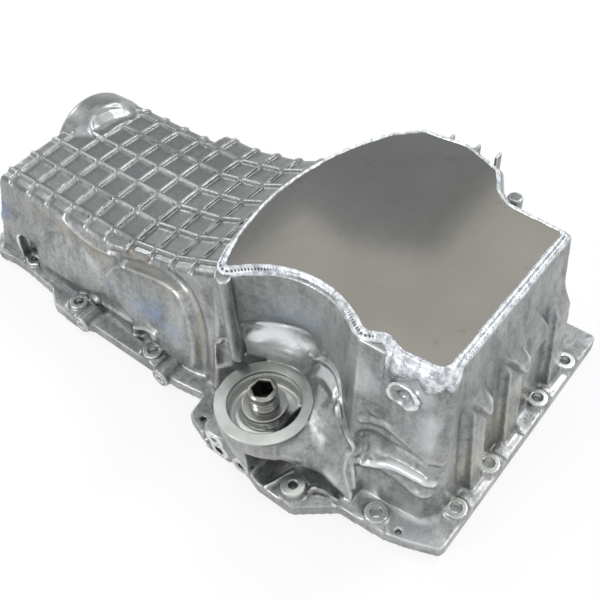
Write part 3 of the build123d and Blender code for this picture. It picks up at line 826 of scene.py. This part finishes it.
def cast_skin(name):
    """Cast aluminium; cut faces and painted-highlight polish are smoother, with less relief."""
    made, tree = new_material(name)
    place = place_in(tree)
    marks = {key: mark_in(tree, key) for key in MARKS}
    small = cloud(tree, place, 8, 4, 0.7, stretch=(1, 1, 1.4))
    speck = cloud(tree, place, 1.8, 3, 0.75)
    tone = cast_colour(tree, place, small, speck)
    tone = marked_colour(tree, place, small, tone, marks)
    smooth = calc(tree, "MAXIMUM", marks["cut"], marks["polish_and_painted_highlight"])
    rough = spread(tree, small, 0.35, 0.65, 0.46, 0.30)
    rough = node(tree, "ShaderNodeMix", {"data_type": "FLOAT"}, {0: smooth, 2: rough, 3: 0.24})
    depth = calc(tree, "MULTIPLY_ADD", calc(tree, "SUBTRACT", 1.0, smooth), 0.38, 0.04)
    wave = bump(tree, cloud(tree, place, 9, 3, 0.5), depth, 0.0012)
    dents = bump(tree, speck, depth, 0.0004, Normal=wave)
    metal_surface(tree, tone, rough.outputs[0], metallic=0.9, Normal=dents)
    return made


cast_metal = cast_skin("cast_aluminium_as_moulded")
skin.materials.clear()
skin.materials.append(cast_metal)
print("cast aluminium nodes:", len(cast_metal.node_tree.nodes))

# %% [markdown]
# The other pieces are surfaces of two parameters. A grid of points is worked out as one
# array: rows run along a path or a profile, columns go round. The faces between them follow
# from the numbering alone, so one small function turns any such grid into a piece.


# %% Grid pieces
def grid_piece(name, grids):
    """Makes one piece of one or several grids of points, rows by columns. The columns close
    into a ring and so do the rows, like the two ways round a tyre. The faces turn outwards:
    the sum of face middle . face normal is six times the volume, and must come out positive."""
    grids = grids.reshape(-1, *grids.shape[-3:])
    count, rows, columns, _ = grids.shape
    row = np.arange(rows)[:, None]
    column = np.arange(columns)[None, :]
    after_row, after_column = (row + 1) % rows, (column + 1) % columns
    faces = np.stack(np.broadcast_arrays(
        row * columns + column, row * columns + after_column,
        after_row * columns + after_column, after_row * columns + column), axis=-1)
    first = (np.arange(count) * rows * columns)[:, None, None]
    faces = (faces.reshape(-1, 4)[None] + first).reshape(-1, 4)
    corner = grids.reshape(-1, 3)[faces]
    crossed = np.cross(corner[:, 2] - corner[:, 0], corner[:, 3] - corner[:, 1])
    if np.einsum("ij,ij->", corner.mean(axis=1), crossed) < 0:
        faces = faces[:, ::-1]
    mesh = bpy.data.meshes.new(name)
    mesh.from_pydata((grids.reshape(-1, 3) * MM).tolist(), [], faces.tolist())
    mesh.polygons.foreach_set("use_smooth", np.ones(len(faces), bool))
    piece = linked(name, mesh)
    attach(piece, "root")
    return piece


def outline_of(name, height, middle):
    """Corner points of a flat node at one height, in order of their angle round a middle."""
    corners = points_of(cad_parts[name].data) / MM
    at_height = np.abs(corners[:, 2] - height) < 0.05
    corners = np.unique(corners[at_height][:, :2].round(3), axis=0)
    angle = np.arctan2(corners[:, 1] - middle[1], corners[:, 0] - middle[0])
    return corners[np.argsort(angle)]


def even_path(corners, spacing):
    """Points at an even spacing along a closed line, and how far along it each one is."""
    closed = np.vstack([corners, corners[:1]])
    runs = np.linalg.norm(np.diff(closed, axis=0), axis=1)
    reach = np.concatenate([[0], np.cumsum(runs)])
    along = np.linspace(0, reach[-1], int(reach[-1] / spacing), endpoint=False)
    places = [np.interp(along, reach, closed[:, axis]) for axis in (0, 1)]
    return np.stack(places, axis=1), along


PLATE_TOP = 150.0
PLATE_MIDDLE = (130.0, 10.0)
plate_corners = outline_of("sump_plate", PLATE_TOP, PLATE_MIDDLE)
print("corners of the plate:", len(plate_corners))

# %% [markdown]
# The weld is a bead of aluminium wire, laid while the torch moves round the plate. Each small
# melt freezes as a scale over the one before, about two millimetres on. Here a profile of
# the bead is carried along the outline of the plate, and the scales and the unsteady hand
# are waves of the distance along it. First comes the path, with the shares that say where
# the bead is wide, porous or spread as an apron.

# %% Path of the weld
BEAD_STEP = 0.7
PATH_ROUNDS = 4
NEAR_SIDE_Y, REAR_SIDE_X = -55, 224

path, along = even_path(plate_corners, BEAD_STEP)
for turn in range(PATH_ROUNDS):
    path = (np.roll(path, 1, axis=0) + path * 2 + np.roll(path, -1, axis=0)) / 4
tangent = np.roll(path, -2, axis=0) - np.roll(path, 2, axis=0)
outward = np.stack([tangent[:, 1], -tangent[:, 0]], axis=1)
outward /= np.linalg.norm(outward, axis=1, keepdims=True)

near_edge = smooth_step((NEAR_SIDE_Y - path[:, 1]) / 12)
near_arc = near_edge * smooth_step((186 - path[:, 0]) / 12)
rear_edge = smooth_step((path[:, 0] - REAR_SIDE_X) / 6)
apron = near_edge * smooth_step((path[:, 0] - 184) / 8) * smooth_step((232 - path[:, 0]) / 6)
width = 0.5 + 0.4 * np.maximum(near_edge, rear_edge)
print("weld path points:", len(path), "length in mm:", round(float(along[-1])))

# %% [markdown]
# The profile goes from the plate over the bead and down its outer side. Each wave moves only
# a share of it: the crest, the valley between bead and wall, the inner and outer sides, or
# the apron, which is widest half way down and hangs lowest near the foot.

# %% Weld bead
SCALE_PITCH = 2.3
PORE_PITCH = 2.2
LUMP_PITCH = 10.5
BEAD_OUT = np.array([-1.4, -0.9, 0.0, 1.0, 1.9, 2.7, 3.4, 4.2,
                     5.2, 6.1, 6.6, 6.6, 6.0, 4.6, 1.5, -1.0])
BEAD_UP = np.array([-0.3, 0.3, 0.9, 1.2, 1.1, 0.4, -0.3, -0.4,
                    -0.9, -1.8, -3.0, -4.4, -5.3, -5.0, -3.2, -1.6])
CREST = np.array([0, 0.6, 1, 1, 0.8, 0.2, 0, 0.3, 0.7, 1, 1, 0.8, 0.3, 0, 0, 0])
VALLEY = np.array([0, 0, 0, 0, 0.2, 0.8, 1, 0.8, 0.2, 0, 0, 0, 0, 0, 0, 0])
SIDE = np.array([1, 0.7, 0.3, 0, 0, 0, 0, 0, 0, 0.4, 0.8, 0.8, 0.6, 0, 0, 0])
APRON_OUT = np.array([0, 0, 0, 0, 0, 0, 0.3, 0.8, 1, 1.2, 1.3, 1.2, 0, 0, 0, 0])
APRON_DOWN = np.array([0, 0, 0, 0, 0, 0, 0.5, 1, 2, 5, 10, 15, 17, 6, 0, 0])


def carried(amount, profile):
    """A profile at every step of the path, times the amount there."""
    return amount[:, None] * profile[None, :]


scales = np.abs(np.sin(math.pi * along / SCALE_PITCH)) ** 0.7
pores = 0.5 + 0.5 * np.sin(2 * math.pi * along / PORE_PITCH + 1.3 * np.sin(along / 7.0))
hand = (0.5 * np.sin(along / 9.1) + 0.35 * np.sin(along / 4.3 + 1.0)
        + 0.25 * np.sin(along / 2.1 + 2.0))
lumps = np.abs(np.sin(math.pi * (along - 3.0 * np.sin(along / 11.0)) / LUMP_PITCH)) ** 0.6
out = carried(width, BEAD_OUT) + carried(hand * 0.5, SIDE)
up = (BEAD_UP[None, :] + carried(0.45 * scales - 0.2, CREST)
      - carried(near_arc * (0.3 + 0.9 * pores), VALLEY))
out += carried(apron * (0.6 + 1.6 * lumps), APRON_OUT)
up -= carried(apron * (0.4 + 0.6 * lumps), APRON_DOWN)
flat = path[:, None, :] + outward[:, None, :] * out[..., None]
grid = np.concatenate([flat, (PLATE_TOP + up)[..., None]], axis=2)
bead = grid_piece("weld_bead_scales", grid)
write_mark(bead.data, "valley",
           carried(near_arc * (0.35 + 0.65 * pores) + rear_edge * 0.75, VALLEY))
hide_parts("weld_bead")
print("weld bead points:", grid.shape[0] * grid.shape[1])

# %% [markdown]
# The nipple is turned from steel bar. Its thread is a radius that rises and falls along the
# height, with the turn angle added, so the crests climb as they go round. Its hexagon is a
# radius too: at each angle, the flat's distance divided by the cosine of the angle from the
# middle of that flat.


# %% Turned shapes
def hexagon(half_across, angle):
    """The radius of a hexagon at each angle, from the distance of its flats."""
    return half_across / np.cos((angle + math.pi / 6) % (math.pi / 3) - math.pi / 6)


def lathe_rows(stations, angle):
    """Rings of points, one for each pair of a height and a radius, which may vary round."""
    radius = np.stack([np.broadcast_to(radius, angle.shape) for _, radius in stations])
    height = np.array([height for height, _ in stations], float)[:, None] + 0 * radius
    return np.stack([radius * np.cos(angle), radius * np.sin(angle), height], axis=-1)


def stood_at(rings, centre, axis="Z"):
    """Moves rings to their centre: x and y for an upright axis. For the axis "Y" the centre
    is x and z, and the top of the rings faces the near side."""
    if axis == "Y":
        rings = np.stack([rings[..., 0], -rings[..., 2], rings[..., 1]], axis=-1)
        return rings + np.array([centre[0], 0, centre[1]])
    return rings + np.array([centre[0], centre[1], 0])


angle = np.linspace(0, 2 * math.pi, 144, endpoint=False)
print("angles round a turned piece:", len(angle))

# %% Filter nipple
NIPPLE_FOOT, NIPPLE_TOP = 54.0, 72.0
NIPPLE_RADIUS, SHANK_RADIUS = 11.0, 10.0
SHANK_END = 40.0
HEX_FLAT = 7.0
THREAD_PITCH, THREAD_DEPTH, THREAD_EASE = 2.5, 1.3, 1.2

thread_z = np.linspace(NIPPLE_FOOT + 2.4, NIPPLE_TOP - 5.4, 60)
phase = (thread_z[:, None] / THREAD_PITCH - angle[None, :] / (2 * math.pi)) % 1.0
ease = (smooth_step((thread_z - thread_z[0]) / THREAD_EASE)
        * smooth_step((thread_z[-1] - thread_z) / THREAD_EASE))
thread_groove = ease[:, None] * np.abs(2 * phase - 1)
thread = NIPPLE_RADIUS - 0.1 - THREAD_DEPTH * thread_groove
bore = hexagon(HEX_FLAT, angle)
stations = [
    (SHANK_END, bore), (SHANK_END, SHANK_RADIUS), (NIPPLE_FOOT, SHANK_RADIUS),
    (NIPPLE_FOOT + 0.3, NIPPLE_RADIUS - 1.0), (NIPPLE_FOOT + 2.0, NIPPLE_RADIUS - 1.0),
    (NIPPLE_FOOT + 2.3, NIPPLE_RADIUS - 0.2)]
first_turn = len(stations)
stations += list(zip(thread_z, thread))
stations += [(NIPPLE_TOP - down, NIPPLE_RADIUS - inward) for down, inward in (
    (5.0, 0.0), (1.8, 0.0), (1.5, 0.1), (0.2, 1.5), (0.0, 1.8))]
stations += [(NIPPLE_TOP, bore + 0.8)] + [(NIPPLE_TOP - down, bore) for down in (0.7, 6, 16)]
grid = stood_at(lathe_rows(stations, angle), FILTER_PLACE)
nipple = grid_piece("filter_nipple_threaded", grid)
# Painted shade in the thread's grooves.
painted_recess_shade = np.zeros(grid.shape[:2])
painted_recess_shade[first_turn : first_turn + len(thread_z)] = thread_groove
write_mark(nipple.data, "painted_recess_shade", painted_recess_shade)
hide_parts("filter_nipple")
print("nipple rings:", len(stations))

# %% [markdown]
# Where the pan seals or a bolt head sits, the casting was cut flat in a lathe or with a spot
# facer. These faces have crisp edges, which the soft skin cannot hold. So each one is a low
# ring turned round its own axis, with a bore, set a fraction of a millimetre proud of the
# casting. Only the plug's rim stands further out, where the skirt does not hide it.


# %% Machined faces
def turned_ring(centre, top, outer, inner, bore, axis="Z"):
    """A grid round an axis: a flat face between two radii, small bevels and a bore. A second
    ring just inside each bevel keeps the smooth shading of the bevel off the flat face."""
    inset = min(0.8, 0.45 * (outer - inner))
    around = np.linspace(0, 2 * math.pi, 96, endpoint=False)
    stations = [
        (top - bore, inner), (top - 0.35, inner), (top - 0.1, inner + 0.1),
        (top, inner + 0.4), (top, inner + inset), (top, outer - inset), (top, outer - 0.4),
        (top - 0.1, outer - 0.1), (top - 0.35, outer), (top - bore, outer)]
    return stood_at(lathe_rows(stations, around), centre, axis)


PROUD = 0.2
PLUG_PLACE, PLUG_RIM = (106.5, 14.5), 139.4
PORT_FACE, PORT_RIMS = 136.2, [(3.6, 2.2), (5.4, 3.9)]  # outer and inner radius
FAR_FACE, FAR_PLACES = 116.2, [(-102.0, 9.0), (-4.0, 9.0)]

RINGS = [turned_ring(FILTER_PLACE, RING_TOP + PROUD, 36.6, 27.4, 3.0),
         turned_ring(FILTER_PLACE, COLLAR_TOP + PROUD, 16.6, 10.2, 3.0)]
RINGS += [turned_ring(place, BOSS_TOP + 0.15, 8.2, 4.3, 5.0) for place in BOLT_PLACES]
RINGS += [turned_ring(DRAIN_PLACE, DRAIN_TOP + 0.15, 9.0, 3.4, 6.0)]
RINGS += [turned_ring(port[:2], PORT_FACE, outer, inner, 5.0, "Y")
          for port, (outer, inner) in zip(PORTS, PORT_RIMS)]
RINGS += [turned_ring(PLUG_PLACE, PLUG_RIM, 8.0, 4.4, 6.0, "Y")]
RINGS += [turned_ring(place, FAR_FACE, 5.2, 2.4, 5.0, "Y") for place in FAR_PLACES]
faces_piece = grid_piece("machined_faces", np.stack(RINGS))
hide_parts("pan_casting")
print("machined faces:", len(RINGS))

# %% [markdown]
# The screw plug beside the ports closes an oil gallery. It is a short turned cylinder with a
# small bevel and a hexagon socket, which gets painted shade so that it comes out dark.

# %% Gallery plug
PLUG_FACE, PLUG_RADIUS, PLUG_LENGTH = 138.8, 4.3, 7.6
SOCKET_HALF, SOCKET_DEPTH = 2.5, 4.0
PLUG_BEVEL = 0.3
AXIS = 0.05

socket = hexagon(SOCKET_HALF, angle)
stations = [(PLUG_FACE - down, radius) for down, radius in (
    (SOCKET_DEPTH, AXIS), (SOCKET_DEPTH, socket), (PLUG_BEVEL, socket),
    (0, socket + PLUG_BEVEL), (0, PLUG_RADIUS - PLUG_BEVEL), (PLUG_BEVEL, PLUG_RADIUS),
    (PLUG_LENGTH, PLUG_RADIUS), (PLUG_LENGTH, AXIS))]
grid = stood_at(lathe_rows(stations, angle), PLUG_PLACE, "Y")
plug = grid_piece("gallery_plug_turned", grid)
# Painted shade in the hexagon socket.
painted_recess_shade = np.zeros(grid.shape[:2])
painted_recess_shade[:3] = 1.0
write_mark(plug.data, "painted_recess_shade", painted_recess_shade)
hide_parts("gallery_plug")
print("plug across:", 2 * PLUG_RADIUS, "mm, socket across flats:", 2 * SOCKET_HALF, "mm")

# %% [markdown]
# The plate is rolled sheet. Rolling leaves a satin face with faint lines in one direction,
# and the heat of the weld and the handling leave soft stains, so its grey drifts from spot
# to spot. A finish made of noise and ramps needs no picture and holds at any size.

# %% Plate finish
plate_metal, tree = new_material("rolled_aluminium_sheet")
place = place_in(tree)
stain = ramp(tree, cloud(tree, place, 60, 4, 0.55), (0.35, "#96938c"), (0.65, "#a09d97"))
fleck = ramp(tree, cloud(tree, place, 9, 4, 0.6), (0.64, "#ffffff"), (0.76, "#d8d4cc"))
tone = mixed_colour(tree, 0.6, stain, fleck, "MULTIPLY")
lines = cloud(tree, place, 2.0, 2, 0.5, stretch=(1, 5, 1))
rough = spread(tree, lines, 0.3, 0.7, 0.10, 0.13)
metal_surface(tree, tone, rough, Normal=bump(tree, lines, 0.02, 0.0002))
plate_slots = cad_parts["sump_plate"].data.materials
plate_slots.clear()
plate_slots.append(plate_metal)
print("plate nodes:", len(tree.nodes))

# %% [markdown]
# Weld metal is clean and bright on its scales and darker in the valley between the bead and
# the wall, which the valley mark says.

# %% Weld finish
weld_metal, tree = new_material("aluminium_weld_scales")
place = place_in(tree)
light = ramp(tree, cloud(tree, place, 2.6, 3, 0.75), (0.38, "#a7adb3"), (0.6, "#eceff2"))
# Darker in the valley of the bead, by the valley mark.
valley_darkening = ramp(tree, mark_in(tree, "valley"), (0.35, "#ffffff"), (0.85, "#4c5054"))
tone = mixed_colour(tree, 1.0, light, valley_darkening, "MULTIPLY")
grains = bump(tree, cloud(tree, place, 1.4, 2, 0.6), 0.5, 0.0004)
metal_surface(tree, tone, 0.42, Normal=grains)
bead.data.materials.append(weld_metal)
print("weld nodes:", len(tree.nodes))

# %% [markdown]
# The nipple, the plug and the turned faces are bare cut metal. The steel has faint turning
# lines round its axis and painted shade in its thread grooves and socket. The turned
# aluminium is plain and pale.

# %% Steel and turned faces
steel, tree = new_material("turned_steel")
place = place_in(tree)
shade = ramp(tree, cloud(tree, place, 5, 3, 0.6), (0.35, "#8a8985"), (0.65, "#aeaca8"))
# Painted shade where the recess mark is high.
painted_recess_tone = ramp(tree, mark_in(tree, "painted_recess_shade"), (0.25, "#ffffff"), (0.85, "#3a3a38"))
shade = mixed_colour(tree, 1.0, shade, painted_recess_tone, "MULTIPLY")
turning = cloud(tree, place, 1.2, 2, 0.5, stretch=(6, 6, 1))
metal_surface(tree, shade, 0.26, Normal=bump(tree, turning, 0.15, 0.0002))
nipple.data.materials.append(steel)
plug.data.materials.append(steel)

turned, tree = new_material("aluminium_turned_face")
pale = cloud(tree, place_in(tree), 14, 3, 0.6)
metal_surface(tree, ramp(tree, pale, (0.35, "#b2b5b1"), (0.65, "#cccfcb")), 0.3)
faces_piece.data.materials.append(turned)
print("steel on the nipple and the plug, turned aluminium on the machined faces")
